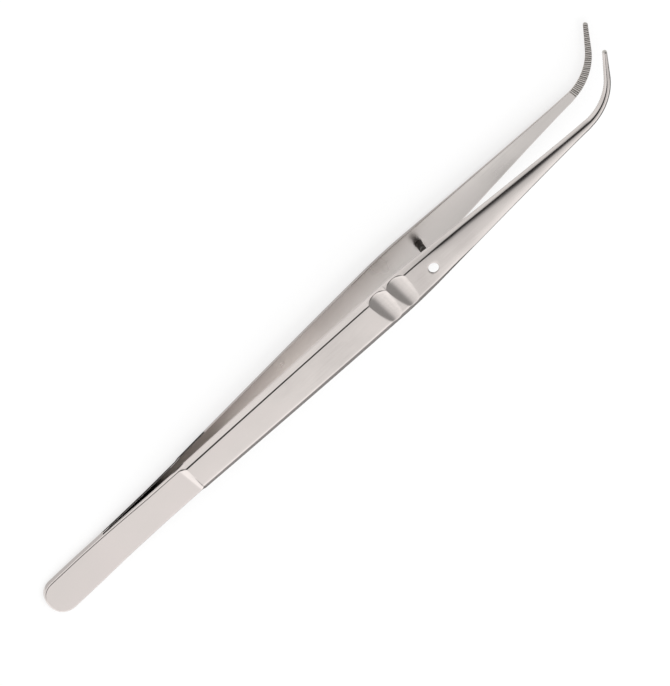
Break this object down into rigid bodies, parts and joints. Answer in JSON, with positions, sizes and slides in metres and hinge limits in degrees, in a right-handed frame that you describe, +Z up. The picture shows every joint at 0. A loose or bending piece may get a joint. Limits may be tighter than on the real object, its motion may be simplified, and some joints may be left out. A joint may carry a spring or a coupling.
{
  "type": "tweezers",
  "caption": "Curved-tip precision tweezers: two sprung steel arms welded at the tail, with serrated tips, scalloped finger grips and a guide pin that enters a hole.",
  "frame": {"origin": "the rear end of the lower arm's outer face, on the arms' centre line, where it meets the surface that the tweezers lie on", "axes": "+X from the tail to the tips, +Z up from the surface that the tweezers lie on and the way the jaws open, +Y the side that the tips curve to"},
  "size_m": [0.16, 0.0143, 0.0169],
  "materials": {
    "arm_steel": "satin-polished stainless steel",
    "pin_steel": "turned steel, dark satin",
    "weld_steel": "fused steel inside the weld"
  },
  "bodies": {
    "tail": {"upper_tail": "arm_steel", "lower_tail": "arm_steel", "weld_nuggets": "weld_steel"},
    "lower_arm": {"lower_jaw": "arm_steel", "lower_spring": "arm_steel", "guide_pin": "pin_steel"},
    "upper_arm": {"upper_jaw": "arm_steel", "upper_spring": "arm_steel"}
  },
  "joints": [
    {"name": "lower_arm_flex", "type": "hinge", "parent": "tail", "child": "lower_arm", "pos_m": [0.02847, 0, 0.00138], "axis": [0, -1, 0], "range_deg": [0, 2.86], "stiffness_Nm_per_rad": 3.5, "deforming": ["lower_spring"]},
    {"name": "upper_arm_flex", "type": "hinge", "parent": "tail", "child": "upper_arm", "pos_m": [0.02836, 0, 0.00341], "axis": [0, 1, 0], "range_deg": [0, 2.86], "stiffness_Nm_per_rad": 3.5, "deforming": ["upper_spring"]}
  ],
  "couplings": [
    {"joint": "upper_arm_flex", "follows": "lower_arm_flex", "ratio": 1}
  ]
}
